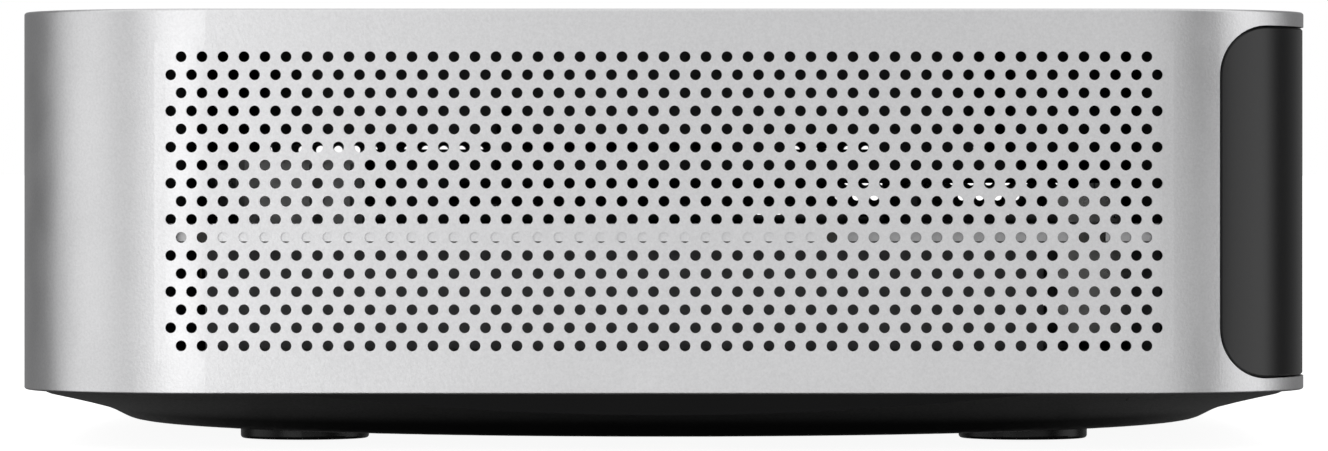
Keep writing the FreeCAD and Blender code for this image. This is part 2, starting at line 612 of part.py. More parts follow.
def light_pipe():
    """The clear rod of the power light, with its lamp on the board behind it."""
    lamp_y = (BOARD_FRONT + 1.0, BOARD_FRONT + 2.6)
    pipe = rod(LIGHT_X, FRONT_Z, (-HALF + 0.05, lamp_y[0]), LIGHT_R)
    return fused(pipe, box(span(LIGHT_X, 2.0), lamp_y, (BOARD_TOP, FRONT_Z + 1.0)))


# ---- memory and cards --------------------------------------------------------------------------
def module_x(name):
    """A module's two long edges: the free one and the one in the socket."""
    outer, _, _, width = MEMORY[name]
    seat = outer - width + SOCKET_BITE
    return seat - MODULE_REACH, seat


def latch_pivot(name, end):
    """Where a latch turns. end is -1 at the module's front end and 1 at its rear end."""
    edge = MODULE_Y[0] if end < 0 else MODULE_Y[1]
    return V(module_x(name)[0] - 1.2 + LATCH_LEN, edge + end * (LATCH_GAP + LATCH_T / 2), MEMORY[name][2])


def memory_socket(name):
    """The slotted bar that holds a module, with a rail at each end that carries a latch."""
    outer, low, module_z, width = MEMORY[name]
    inner = outer - width
    body = box((inner, outer), MEMORY_Y, (low, BOARD_Z))
    slot_y = (MODULE_Y[0] - 0.1, MODULE_Y[1] + 0.1)
    slot = box((inner - 1, inner + SOCKET_BITE + 0.1), slot_y, (module_z - 0.1, module_z + MODULE_T + 0.1))
    rail_z = (module_z + MODULE_T + 0.5, module_z + MODULE_T + 1.4)
    rails, bores = [], []
    for end in (-1, 1):
        pivot = latch_pivot(name, end)
        rails.append(box((pivot.x - 1.5, inner), span(pivot.y, 1.0 + LATCH_T), rail_z))
        bores.append(cylinder(pivot.x, pivot.y, (rail_z[0] - 1, rail_z[0] + 0.6), LATCH_PIN_R + 0.05))
    return fused(body.cut(slot), *rails).cut(bores)


def memory_latch(name, end):
    """One sheet-metal latch: a strip beside the module, a hook under its corner and a pivot pin."""
    pivot = latch_pivot(name, end)
    tip = pivot.x - LATCH_LEN
    edge = MODULE_Y[0] if end < 0 else MODULE_Y[1]
    strip = box((tip, pivot.x + 0.8), span(pivot.y, LATCH_T), (pivot.z - 0.6, pivot.z + MODULE_T + 0.4))
    hook = box((tip, tip + 2.0), sorted((edge - end * 0.9, edge + end * 0.5)), (pivot.z - 0.6, pivot.z - 0.1))
    pin_z = (pivot.z + MODULE_T + 0.3, pivot.z + MODULE_T + 1.0)
    pin = cylinder(pivot.x, pivot.y, pin_z, LATCH_PIN_R - 0.06)
    return fused(strip, hook, pin)


def memory_module(name):
    z = MEMORY[name][2]
    x = module_x(name)
    board = box(x, MODULE_Y, (z, z + MODULE_T))
    return board.cut(box((x[1] - 4.0, x[1] + 1), (-1.6, -0.1), (z - 1, z + 2)))


def memory_chips():
    """Four memory chips on each face of each module."""
    chips = []
    for name, (_, _, z, _) in MEMORY.items():
        x = module_x(name)[0] + 11.5
        for i in range(4):
            y = MODULE_Y[0] + 10.0 + i * 16.5
            for low in (z - 1.0, z + MODULE_T):
                chips.append(box(span(x, 11.0), span(y, 9.0), (low, low + 1.0)))
    return group(chips)


def card_posts():
    """Where the card screws stand, with the height of the card: the drive's, then the wireless card's."""
    return [(sum(DRIVE_X) / 2, DRIVE_Y[0], DRIVE_Z), (sum(WIRELESS_X) / 2, WIRELESS_Y[0], WIRELESS_Z)]


def card(x, y, z, post):
    """A plug-in card with a half round notch at its screwed end."""
    return box(x, y, (z, z + CARD_T)).cut(cylinder(post[0], post[1], (z - 1, z + 2), 1.8))


def card_socket(x, y_end, z):
    """The edge socket that holds a card's far end."""
    body = box((x[0] + 0.05, x[1] - 0.05), (y_end - 2.0, y_end + 5.5), (z - 0.7, BOARD_Z))
    return body.cut(box((x[0] - 1, x[1] + 1), (y_end - 3.0, y_end), (z, z + CARD_T)))


def card_standoffs():
    """Brass posts under the board that the cards' notched ends rest on."""
    return group(ring(x, y, (z + CARD_T, BOARD_Z), 2.3, SMALL_SHANK_R) for x, y, z in card_posts())


def drive_chips():
    x = sum(DRIVE_X) / 2
    sizes = ((20.0, 9.0, 13.0), (2.0, 13.0, 18.0), (-20.0, 13.0, 18.0))
    return group(box(span(x, w), span(y, d), (DRIVE_Z - CHIP_T, DRIVE_Z)) for y, w, d in sizes)


def wireless_shield():
    x = (WIRELESS_X[0] + 1.5, WIRELESS_X[1] - 1.5)
    return box(x, (WIRELESS_Y[0] + 8.0, WIRELESS_Y[1] - 4.0), (WIRELESS_Z - 1.4, WIRELESS_Z))


def spreader_screws():
    return (-SPREADER_SCREW_Y, SPREADER_SCREW_Y)


def small_screws():
    """The screws of the two cards and of the drive's heat spreader."""
    head = (SMALL_HEAD_R, SMALL_HEAD_T, SMALL_SHANK_R)
    made = [screw(x, y, z, z + 3.4, *head) for x, y, z in card_posts()]
    made += [screw(SPREADER_SCREW_X, y, SPREADER_TOP, SLEEVE_Z + 0.3, *head) for y in spreader_screws()]
    return group(made)


def drive_heatspreader():
    """A plate across the dish's pocket with a raised step that reaches up to the drive."""
    plate = box(SPREADER_X, (-SPREADER_HALF_Y, SPREADER_HALF_Y), (DECK_Z, SPREADER_TOP))
    step = box(DRIVE_X, (-33.0, 30.0), (SPREADER_TOP, STEP_TOP))
    holes = [cylinder(SPREADER_SCREW_X, y, (DECK_Z - 1, SPREADER_TOP + 1), 1.1) for y in spreader_screws()]
    return fused(plate, step).cut(holes)


def thermal_pad():
    return box((DRIVE_X[0] + 1.0, DRIVE_X[1] - 1.0), (-32.0, 29.0), (STEP_TOP, DRIVE_Z - CHIP_T))


# ---- cooler ------------------------------------------------------------------------------------
def heat_pipe(side):
    """A flattened pipe from over the processor to under the fins, on the left for -1 and the right for 1."""
    plan = [(7.0, -21.0), (7.0, 12.0), (17.0, 30.0), (17.0, 41.5)]
    path = smooth_path([V(side * x, y, PLATE_Z) for x, y in plan], PIPE_BEND)
    start = path.Vertexes[0].Point
    section = rounded_wire(
        span(start.x, PIPE_W), (PLATE_Z, PLATE_Z + PIPE_T), 0.9, lambda u, v: V(u, start.y, v)
    )
    return path.makePipeShell([section], True, False)


def cooler_plate():
    """The plate that carries the pipes and the fan, with a wing towards the right wall."""
    plate = slab((-29.0, 29.0), (-27.0, 29.0), (PLATE_Z, PLATE_TOP), 3.0)
    cuts = [heat_pipe(side) for side in (-1, 1)]
    cuts += in_corners(cylinder(CLAMP_X, CLAMP_Y, (PLATE_Z - 1, PLATE_TOP + 1), 1.4))
    cuts += in_corners(cylinder(CLAMP_X, CLAMP_Y, (PLATE_TOP - CLAMP_SEAT, PLATE_TOP + 1), 2.7))
    lips = [box((WING_X[1] - WING_LIP_W, WING_X[1]), y, (WING_Z[0], FAN_Z)) for y in WING_LIPS]
    return fused(plate.cut(cuts), box(WING_X, WING_Y, WING_Z), *lips)


def cold_plate():
    return slab((-21.0, 21.0), (-28.0, 15.0), (DIE_TOP, PLATE_Z), 1.0)


def cooler_fins():
    count = int(2 * FIN_HALF / FIN_PITCH) + 1
    places = [-FIN_HALF + i * FIN_PITCH for i in range(count)]
    return group(box(span(x, FIN_T), FIN_Y, (PLATE_Z + PIPE_T, FAN_TOP)) for x in places)


def fan_plan(z):
    return slab((-FAN_HALF, FAN_HALF), (FAN_Y - FAN_HALF, FAN_Y + FAN_HALF), z, FAN_R)


def fan_housing():
    """The blower's tray, open towards the fins, with a spoked inlet around the motor's seat."""
    room_z = (FAN_FLOOR, FAN_LID_Z + 1)
    scroll = cylinder(0, FAN_Y, room_z, SCROLL_R)
    outlet = box((-SCROLL_R, SCROLL_R), (FAN_Y, FAN_Y + FAN_HALF + 1), room_z)
    floor_z = (FAN_Z - 1, FAN_FLOOR + 1)
    spokes = [turned(box((-1.6, 1.6), (0, 22), floor_z), FAN_Y, angle) for angle in (60, 180, 300)]
    inlet = ring(0, FAN_Y, floor_z, 19.0, 11.6).cut(spokes)
    seat = cylinder(0, FAN_Y, (PLATE_TOP, FAN_Z), 11.0)
    rests = [cylinder(x, 0, (PLATE_TOP, FAN_Z), 2.6) for x in (-26.0, 26.0)]
    return fused(fan_plan((FAN_Z, FAN_LID_Z)).cut([scroll, outlet, inlet]), seat, *rests)


def fan_lid():
    return fan_plan((FAN_LID_Z, FAN_TOP)).cut(cylinder(0, FAN_Y, (FAN_LID_Z - 1, FAN_TOP + 1), 19.5))


def fan_bearing():
    return ring(0, FAN_Y, (FAN_FLOOR, 32.2), BEARING_R, SHAFT_R + SHAFT_GAP)


def fan_stator():
    """A round coil pack with six winding slots."""
    slots = [turned(box((5.0, 9.0), (-1.1, 1.1), (27.0, 33.0)), FAN_Y, 60 * i) for i in range(6)]
    return ring(0, FAN_Y, (28.2, 31.6), STATOR_R, BEARING_R).cut(slots)


def blade_outline():
    """The plan of one swept blade: two arcs, a blade's thickness apart."""
    swept = [(HUB_R - 0.3, 0.0), (0.5 * (HUB_R + BLADE_R), 13.0), (BLADE_R, 34.0)]
    sides = []
    for offset in (-BLADE_T / 2, BLADE_T / 2):
        angles = [math.radians(degrees) + offset / radius for radius, degrees in swept]
        radii = [radius for radius, _ in swept]
        sides.append([V(r * math.cos(a), r * math.sin(a) + FAN_Y, 28.2) for r, a in zip(radii, angles)])
    one, two = sides
    arcs = [Part.Arc(*one).toShape(), Part.Arc(*reversed(two)).toShape()]
    return Part.Wire([arcs[0], Part.makeLine(one[2], two[2]), arcs[1], Part.makeLine(two[0], one[0])])


def fan_rotor():
    """A hub cup with swept blades."""
    cup = cylinder(0, FAN_Y, (27.9, 33.6), HUB_R).cut(cylinder(0, FAN_Y, (26.9, 32.8), HUB_R - HUB_T))
    blade = Part.Face(blade_outline()).extrude(V(0, 0, 5.0))
    blades = []
    for i in range(BLADES):
        copy = blade.copy()
        copy.rotate(V(0, FAN_Y, 0), UP, 360.0 * i / BLADES)
        blades.append(copy)
    return fused(cup, *blades)


def fan_magnet():
    return ring(0, FAN_Y, (28.2, 32.0), HUB_R - HUB_T, MAGNET_R)


def fan_shaft():
    return cylinder(0, FAN_Y, (27.6, 32.8), SHAFT_R)


def fan_cable():
    start = V(FAN_HALF, -14.0, 28.6)
    out = start + V(3.5, 0, 0)
    points = [start, out, V(out.x, -14.0, 22.0), V(out.x, -19.0, 22.0)]
    return lead(points, FAN_LEAD_R, FAN_LEAD_BEND)


def fan_plug():
    return box(span(FAN_HALF + 3.5, 5.2), (-24.0, -19.0), (BOARD_TOP, BOARD_TOP + 4.0))


# ---- antennas ----------------------------------------------------------------------------------
def antenna(side):
    """A flexible antenna stuck inside one curved end of the rear panel."""
    inner = PANEL_R - PANEL_T
    hollow = square_slab(PANEL_IN - ANTENNA_T, inner - ANTENNA_T, (ANTENNA_Z[0] - 1, ANTENNA_Z[1] + 1))
    skin = square_slab(PANEL_IN, inner, ANTENNA_Z).cut(hollow)
    return skin.common(box(sorted((side * 41.5, side * 53.4)), (49.5, 55.0), ANTENNA_Z))


def antenna_lead(side):
    """A thin lead from the wireless card, under the sockets and up the rear corner to one antenna."""
    low = 8.05
    start_x = -35.0 if side > 0 else -40.0
    points = [V(start_x, 7.0, WIRELESS_Z), V(start_x, 7.0, low)]
    if side > 0:
        points += [V(start_x, 40.4, low), V(start_x + 6.0, 46.0, low)]
    turn_x = side * 40.5
    points += [V(turn_x, 46.0, low), V(side * 45.3, 50.9, low + 3.0), V(side * 45.3, 50.9, ANTENNA_Z[0])]
    return lead(points, ANTENNA_LEAD_R, ANTENNA_LEAD_BEND)


# ---- all nodes ---------------------------------------------------------------------------------
def nodes():
    """Every node's shape by name."""
    made = {
        "unibody_shell": unibody_shell(),
        "side_grille_right": side_grille(1),
        "side_grille_left": side_grille(-1),
        "rear_panel": rear_panel(),
        "io_bracket": io_bracket(),
        "base_dish": base_dish(),
        "rubber_feet": rubber_feet(),
        "threaded_inserts": threaded_inserts(),
        "screw_covers": screw_covers(),
        "base_and_clamp_screws": base_and_clamp_screws(),
        "main_board": main_board(),
        "board_standoffs": board_standoffs(),
        "port_risers": port_risers(),
        "audio_jack": audio_jack(),
        "network_port": network_port(),
        "port_contacts": port_contacts(),
        "power_jack": power_jack(),
        "processor": processor(),
        "inductors": inductors(),
        "capacitors": capacitors(),
        "controller_chips": controller_chips(),
        "coin_cell": coin_cell(),
        "power_switch": power_switch(),
        "power_button": power_button(),
        "light_pipe": light_pipe(),
        "memory_sockets": group(memory_socket(name) for name in MEMORY),
        "memory_modules": group(memory_module(name) for name in MEMORY),
        "memory_chips": memory_chips(),
        "drive_card": card(DRIVE_X, DRIVE_Y, DRIVE_Z, card_posts()[0]),
        "drive_chips": drive_chips(),
        "wireless_card": card(WIRELESS_X, WIRELESS_Y, WIRELESS_Z, card_posts()[1]),
        "wireless_shield": wireless_shield(),
        "card_sockets": group(
            [card_socket(DRIVE_X, DRIVE_Y[1], DRIVE_Z), card_socket(WIRELESS_X, WIRELESS_Y[1], WIRELESS_Z)]
        ),
        "card_standoffs": card_standoffs(),
        "small_screws": small_screws(),
        "drive_heatspreader": drive_heatspreader(),
        "thermal_pad": thermal_pad(),
        "cold_plate": cold_plate(),
        "cooler_plate": cooler_plate(),
        "heat_pipes": group(heat_pipe(side) for side in (-1, 1)),
        "cooler_fins": cooler_fins(),
        "fan_housing": fan_housing(),
        "fan_lid": fan_lid(),
        "fan_bearing": fan_bearing(),
        "fan_stator": fan_stator(),
        "fan_rotor": fan_rotor(),
        "fan_magnet": fan_magnet(),
        "fan_shaft": fan_shaft(),
        "fan_cable": fan_cable(),
        "fan_plug": fan_plug(),
        "antennas": group(antenna(side) for side in (-1, 1)),
        "antenna_leads": group(antenna_lead(side) for side in (-1, 1)),
    }
    made.update(sockets())
    for name in MEMORY:
        made["latch_" + name + "_front"] = memory_latch(name, -1)
        made["latch_" + name + "_rear"] = memory_latch(name, 1)
    return made


for node, shape in nodes().items():
    if not shape.Solids or any(not solid.isValid() or solid.Volume <= 0 for solid in shape.Solids):
        raise ValueError("bad shape in " + node)
    shape = shape.Solids[0] if len(shape.Solids) == 1 else group(shape.Solids)
    shape.exportStep("parts/" + node + ".step")
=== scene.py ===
"""The looks of the mini PC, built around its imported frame. Metres, +Z up, the front is -Y."""

import json
import math

import bmesh
import bpy
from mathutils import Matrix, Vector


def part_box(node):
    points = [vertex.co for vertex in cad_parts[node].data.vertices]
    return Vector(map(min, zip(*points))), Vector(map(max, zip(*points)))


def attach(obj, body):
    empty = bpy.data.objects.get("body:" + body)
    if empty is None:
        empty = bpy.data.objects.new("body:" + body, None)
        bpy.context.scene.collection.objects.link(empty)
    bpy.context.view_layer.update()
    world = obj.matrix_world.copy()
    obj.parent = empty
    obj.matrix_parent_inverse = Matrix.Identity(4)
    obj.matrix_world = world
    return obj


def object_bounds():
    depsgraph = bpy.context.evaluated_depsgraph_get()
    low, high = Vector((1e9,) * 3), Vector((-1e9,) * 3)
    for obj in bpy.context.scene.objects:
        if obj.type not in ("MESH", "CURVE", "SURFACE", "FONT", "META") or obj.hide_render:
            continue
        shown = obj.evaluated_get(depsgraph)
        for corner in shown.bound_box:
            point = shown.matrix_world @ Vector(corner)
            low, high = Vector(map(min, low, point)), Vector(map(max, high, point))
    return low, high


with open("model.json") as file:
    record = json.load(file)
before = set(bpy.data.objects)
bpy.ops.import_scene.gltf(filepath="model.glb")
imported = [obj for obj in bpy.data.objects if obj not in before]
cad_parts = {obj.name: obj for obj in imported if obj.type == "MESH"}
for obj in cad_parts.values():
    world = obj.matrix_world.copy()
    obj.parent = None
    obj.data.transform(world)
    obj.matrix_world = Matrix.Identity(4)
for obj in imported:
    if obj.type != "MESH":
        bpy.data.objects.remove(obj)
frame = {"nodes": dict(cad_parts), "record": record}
cad_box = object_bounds()

MM = 0.001
CASE_HALF, CASE_TOP = cad_box[1][0], cad_box[1][2]


# ---- camera ------------------------------------------------------------------------------------
SENSOR = 36.0
FRAME_WIDTH = 113.5 * MM  # width of the picture at the nearer side wall
CAMERA_GAP = 575.0 * MM  # from that wall to the camera
CAMERA_Y, CAMERA_Z = -0.3 * MM, 24.2 * MM
FRAME_DROP = 4.94 * MM  # how far the middle of the picture lies under the camera's height
CAMERA_CLIP = (0.01, 50.0)


def make_camera():
    """Level, in front of the +X side, with the view shifted down instead of tilted."""
    camera = bpy.data.objects.new("camera", bpy.data.cameras.new("camera"))
    camera.data.sensor_width = SENSOR
    camera.data.lens = SENSOR * CAMERA_GAP / FRAME_WIDTH
    camera.data.shift_x = -CAMERA_Y / FRAME_WIDTH
    camera.data.shift_y = -FRAME_DROP / FRAME_WIDTH
    camera.data.clip_start, camera.data.clip_end = CAMERA_CLIP
    camera.location = (CASE_HALF + CAMERA_GAP, CAMERA_Y, CAMERA_Z)
    camera.rotation_euler = (math.radians(90), 0.0, math.radians(90))
    bpy.context.scene.collection.objects.link(camera)
    bpy.context.scene.camera = camera


# ---- material helpers --------------------------------------------------------------------------
NOISE_LOW, NOISE_HIGH = 0.3, 0.7  # nearly all of a noise lies between these


class Shader:
    """A node material under construction around one Principled shader."""

    def __init__(self, name, **values):
        self.material = bpy.data.materials.new(name)
        self.material.use_nodes = True
        self.tree = self.material.node_tree
        self.surface = self.tree.nodes["Principled BSDF"]
        self.place = self.node("ShaderNodeTexCoord").outputs["Object"]
        for key, value in values.items():
            self.surface.inputs[key.replace("_", " ")].default_value = value

    def node(self, kind, **inputs):
        """A new node, with these values on its inputs."""
        made = self.tree.nodes.new(kind)
        for key, value in inputs.items():
            made.inputs[key.replace("_", " ")].default_value = value
        return made

    def link(self, source, target):
        self.tree.links.new(source, target)

    def noise(self, size, detail=2.0, rough=0.5, stretch=(1, 1, 1)):
        """Noise with features of about this size in metres, finer along an axis by its stretch."""
        mapping = self.node("ShaderNodeMapping")
        mapping.inputs["Scale"].default_value = stretch
        self.link(self.place, mapping.inputs["Vector"])
        made = self.node("ShaderNodeTexNoise", Scale=1.0 / size, Detail=detail, Roughness=rough)
        self.link(mapping.outputs["Vector"], made.inputs["Vector"])
        return made.outputs["Fac"]

    def ramp(self, factor, stops):
        """A colour ramp through (position, colour) stops."""
        made = self.node("ShaderNodeValToRGB")
        elements = made.color_ramp.elements
        while len(elements) < len(stops):
            elements.new(0.5)
        for element, (position, color) in zip(elements, stops):
            element.position = position
            element.color = (*color, 1.0)
        self.link(factor, made.inputs["Fac"])
        return made.outputs["Color"]

    def spread(self, factor, low, high, start=NOISE_LOW, end=NOISE_HIGH):
        """A value that runs from low to high as the factor goes from start to end."""
        made = self.node("ShaderNodeMapRange")
        for name, value in (("From Min", start), ("From Max", end), ("To Min", low), ("To Max", high)):
            made.inputs[name].default_value = value
        self.link(factor, made.inputs["Value"])
        return made.outputs["Result"]

    def vector(self, operation, source, other=None, output="Vector"):
        """One step of vector maths on a socket and, if given, a fixed vector."""
        made = self.node("ShaderNodeVectorMath")
        made.operation = operation
        self.link(source, made.inputs[0])
        if other is not None:
            made.inputs[1].default_value = other
        return made.outputs[output]

    def darken(self, factor, keep):
        """Fades the base colour to this share of itself where the factor is 1."""
        color = self.surface.inputs["Base Color"]
        mix = self.node("ShaderNodeMix")
        mix.data_type = "RGBA"
        mix.blend_type = "MULTIPLY"
        mix.inputs["B"].default_value = (keep, keep, keep, 1.0)
        self.link(color.links[0].from_socket, mix.inputs["A"])
        self.link(factor, mix.inputs["Factor"])
        self.link(mix.outputs["Result"], color)

    def color(self, factor, base, change):
        """The base colour, from darker by this share to lighter by it as the factor rises."""
        dark = tuple(c * (1 - change) for c in base)
        light = tuple(min(1.0, c * (1 + change)) for c in base)
        stops = [(NOISE_LOW, dark), (NOISE_HIGH, light)]
        self.link(self.ramp(factor, stops), self.surface.inputs["Base Color"])

    def roughness(self, factor, low, high):
        """Roughness from low to high as the factor rises."""
        self.link(self.spread(factor, low, high), self.surface.inputs["Roughness"])

    def bump(self, height, depth):
        """Bump whose height runs over this depth in metres."""
        made = self.node("ShaderNodeBump", Distance=depth)
        self.link(height, made.inputs["Height"])
        self.link(made.outputs["Normal"], self.surface.inputs["Normal"])


# ---- materials: base is the colour, low and high the roughness ---------------------------------
BLAST_GRAIN, BLAST_DEPTH = 0.22 * MM, 0.018 * MM
BRUSH_WIDTH, BRUSH_DEPTH = 0.9 * MM, 0.004 * MM
BRUSH_STRETCH = (1, 1, 14)  # the lines lie level
RUBBER_GRAIN, RUBBER_DEPTH = 0.12 * MM, 0.008 * MM
TRACK_WIDTH, TRACK_DEPTH = 1.3 * MM, 0.01 * MM
# the sleeve's corner, and the depths under its surface where the painted shade of the interior begins and
# where it is full
CORNER_R = 17.0 * MM
SHADE_START_DEPTH, FULL_SHADE_DEPTH = 0.35 * MM, 1.05 * MM
# share of the aluminium's colour left where the painted shade is full
SHADE_KEEP = 0.04


def blasted_aluminium(name, base, low, high):
    """Bead-blasted and anodised: a fine even grain with a little slow variation."""
    made = Shader(name, Metallic=1.0)
    grain = made.noise(BLAST_GRAIN, detail=3.0, rough=0.6)
    cloud = made.noise(6 * MM)
    made.color(grain, base, 0.05)
    made.roughness(cloud, low, high)
    made.bump(grain, BLAST_DEPTH)
    return made


def sleeve_metal_with_painted_shade(name, base, low, high):
    """Blasted aluminium with painted shade: the colour turns dark with the depth under the outer surface,
    standing in for the shade within the case and at the floors of the blind holes.
    """
    made = blasted_aluminium(name, base, low, high)
    plan = made.vector("ABSOLUTE", made.place)
    plan = made.vector("SUBTRACT", plan, (CASE_HALF - CORNER_R, CASE_HALF - CORNER_R, 0.0))
    plan = made.vector("MAXIMUM", plan, (0.0, 0.0, 0.0))
    plan = made.vector("MULTIPLY", plan, (1.0, 1.0, 0.0))
    reach = made.vector("LENGTH", plan, output="Value")
    wall = made.spread(reach, 1.0, 0.0, CORNER_R - FULL_SHADE_DEPTH, CORNER_R - SHADE_START_DEPTH)
    height = made.node("ShaderNodeSeparateXYZ")
    made.link(made.place, height.inputs["Vector"])
    under_top = made.spread(height.outputs["Z"], 1.0, 0.0, CASE_TOP - FULL_SHADE_DEPTH, CASE_TOP - SHADE_START_DEPTH)
    painted_shade = made.node("ShaderNodeMath")
    painted_shade.operation = "MULTIPLY"
    made.link(wall, painted_shade.inputs[0])
    made.link(under_top, painted_shade.inputs[1])
    # painted shade: the colour fades nearly to black deep under the outer surface, standing in for shade
    # within the case
    made.darken(painted_shade.outputs["Value"], SHADE_KEEP)
    return made


def moulded_plastic(name, base, low, high, grain=0.25 * MM, depth=0.006 * MM, ior=1.5):
    """Moulded plastic with a fine spark-eroded texture."""
    made = Shader(name, IOR=ior)
    fine = made.noise(grain, detail=3.0, rough=0.55)
    cloud = made.noise(9 * MM)
    made.color(cloud, base, 0.08)
    made.roughness(fine, low, high)
    made.bump(fine, depth)
    return made


def soft_rubber(name, base, low, high):
    """Rubber or silicone, with a fine grain and a weak gloss."""
    made = Shader(name, Specular_IOR_Level=0.3)
    fine = made.noise(RUBBER_GRAIN, detail=4.0, rough=0.6)
    made.color(made.noise(4 * MM), base, 0.15)
    made.roughness(fine, low, high)
    made.bump(fine, RUBBER_DEPTH)
    return made


def brushed_metal(name, base, low, high):
    """Bare or plated metal with fine drawn lines."""
    made = Shader(name, Metallic=1.0)
    lines = made.noise(BRUSH_WIDTH, detail=4.0, rough=0.6, stretch=BRUSH_STRETCH)
    made.color(lines, base, 0.08)
    made.roughness(made.noise(1.5 * MM, detail=3.0), low, high)
    made.bump(lines, BRUSH_DEPTH)
    return made


def circuit_board(name, mask, edge):
    """Solder mask over glass laminate: the cut edge, where the normal lies level, shows bare laminate."""
    made = Shader(name)
    geometry = made.node("ShaderNodeNewGeometry")
    normal = made.node("ShaderNodeSeparateXYZ")
    made.link(geometry.outputs["Normal"], normal.inputs["Vector"])
    upright = made.node("ShaderNodeMath")
    upright.operation = "ABSOLUTE"
    made.link(normal.outputs["Z"], upright.inputs[0])
    upright = upright.outputs["Value"]

    tracks = made.noise(TRACK_WIDTH, rough=0.4)
    bare = tuple(c * 0.8 for c in mask)
    over_copper = tuple(c * 1.35 for c in mask)
    face = made.ramp(tracks, [(0.46, bare), (0.54, over_copper)])
    fibres = made.noise(0.5 * MM, detail=3.0, rough=0.6, stretch=(1, 1, 0.4))
    resin = tuple(c * 0.88 for c in edge)
    cut = made.ramp(fibres, [(0.35, resin), (0.65, edge)])

    mix = made.node("ShaderNodeMix")
    mix.data_type = "RGBA"
    made.link(upright, mix.inputs["Factor"])
    made.link(cut, mix.inputs["A"])
    made.link(face, mix.inputs["B"])
    made.link(mix.outputs["Result"], made.surface.inputs["Base Color"])
    made.link(made.spread(upright, 0.6, 0.32, 0.0, 1.0), made.surface.inputs["Roughness"])
    made.bump(tracks, TRACK_DEPTH)
    return made


def clear_plastic(name):
    """A clear moulding, a little milky."""
    made = Shader(name, Transmission_Weight=0.6, IOR=1.49)
    made.color(made.noise(0.5 * MM), (0.85, 0.88, 0.9), 0.04)
    made.roughness(made.noise(0.3 * MM), 0.18, 0.3)
    return made


def floor_material(name):
    """A pale table with a glow of its own, so that it stays nearly as bright as the backdrop."""
    made = Shader(name, Emission_Strength=0.93)
    made.color(made.noise(0.4), (0.5, 0.5, 0.5), 0.01)
    made.roughness(made.noise(0.2), 0.7, 0.8)
    return made


materials = {
    # the sleeve's aluminium, with painted shade under its outer surface
    "sleeve_aluminium": sleeve_metal_with_painted_shade("sleeve_aluminium", (0.87, 0.87, 0.88), 0.36, 0.42),
    "button_aluminium": blasted_aluminium("button_aluminium", (0.72, 0.72, 0.73), 0.32, 0.38),
    "panel_plastic": moulded_plastic("panel_plastic", (0.006, 0.006, 0.0064), 0.22, 0.26, depth=0.003 * MM),
    "base_plastic": moulded_plastic("base_plastic", (0.006, 0.006, 0.0062), 0.32, 0.40, ior=1.2),
    "rubber": soft_rubber("rubber", (0.006, 0.006, 0.006), 0.22, 0.32),
    "sheet_steel": brushed_metal("sheet_steel", (0.62, 0.62, 0.61), 0.26, 0.36),
    "screw_steel": brushed_metal("screw_steel", (0.20, 0.20, 0.21), 0.30, 0.42),
    "brass": brushed_metal("brass", (0.72, 0.55, 0.27), 0.26, 0.36),
    "circuit_board": circuit_board("circuit_board", (0.012, 0.030, 0.024), (0.55, 0.54, 0.50)),
    "connector_plastic": moulded_plastic("connector_plastic", (0.030, 0.030, 0.032), 0.40, 0.52),
    "socket_plastic": moulded_plastic("socket_plastic", (0.27, 0.27, 0.275), 0.50, 0.60),
    "inductor_ferrite": moulded_plastic("inductor_ferrite", (0.78, 0.78, 0.78), 0.50, 0.60, grain=0.4 * MM),
    "contact_gold": brushed_metal("contact_gold", (0.85, 0.66, 0.32), 0.18, 0.28),
    "chip_plastic": moulded_plastic("chip_plastic", (0.040, 0.040, 0.043), 0.48, 0.60),
    "processor_package": moulded_plastic("processor_package", (0.05, 0.11, 0.07), 0.30, 0.42),
    "capacitor_can": brushed_metal("capacitor_can", (0.66, 0.66, 0.67), 0.22, 0.34),
    "clear_plastic": clear_plastic("clear_plastic"),
    "spreader_aluminium": brushed_metal("spreader_aluminium", (0.60, 0.60, 0.61), 0.32, 0.44),
    "blackened_metal": blasted_aluminium("blackened_metal", (0.045, 0.045, 0.047), 0.40, 0.50),
    "pad_silicone": soft_rubber("pad_silicone", (0.32, 0.34, 0.38), 0.45, 0.62),
    "copper": brushed_metal("copper", (0.78, 0.42, 0.28), 0.24, 0.36),
    "fan_plastic": moulded_plastic("fan_plastic", (0.10, 0.10, 0.103), 0.40, 0.50),
    "magnet": moulded_plastic("magnet", (0.05, 0.05, 0.052), 0.50, 0.60),
    "lead_insulation": moulded_plastic("lead_insulation", (0.02, 0.02, 0.021), 0.40, 0.50),
    "antenna_film": moulded_plastic("antenna_film", (0.10, 0.06, 0.03), 0.30, 0.40),
}


def dress_nodes():
    """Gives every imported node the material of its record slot."""
    for row in frame["record"]["subparts"]:
        mesh = frame["nodes"][row["node"]].data
        mesh.materials.clear()
        mesh.materials.append(materials[row["material_slot"]].material)


# ---- extra pieces ------------------------------------------------------------------------------
LENS_SIZE = (2.5 * MM, 0.7 * MM, 1.1 * MM)
LENS_APART = 10.8 * MM  # between the middles of the two windows
LENS_DROP = 1.3 * MM  # their middle under the socket's top
LENS_RECESS = 0.1 * MM  # their outer face behind the socket's
LENS_ROUND = 0.15 * MM
LENS_STEPS = 3


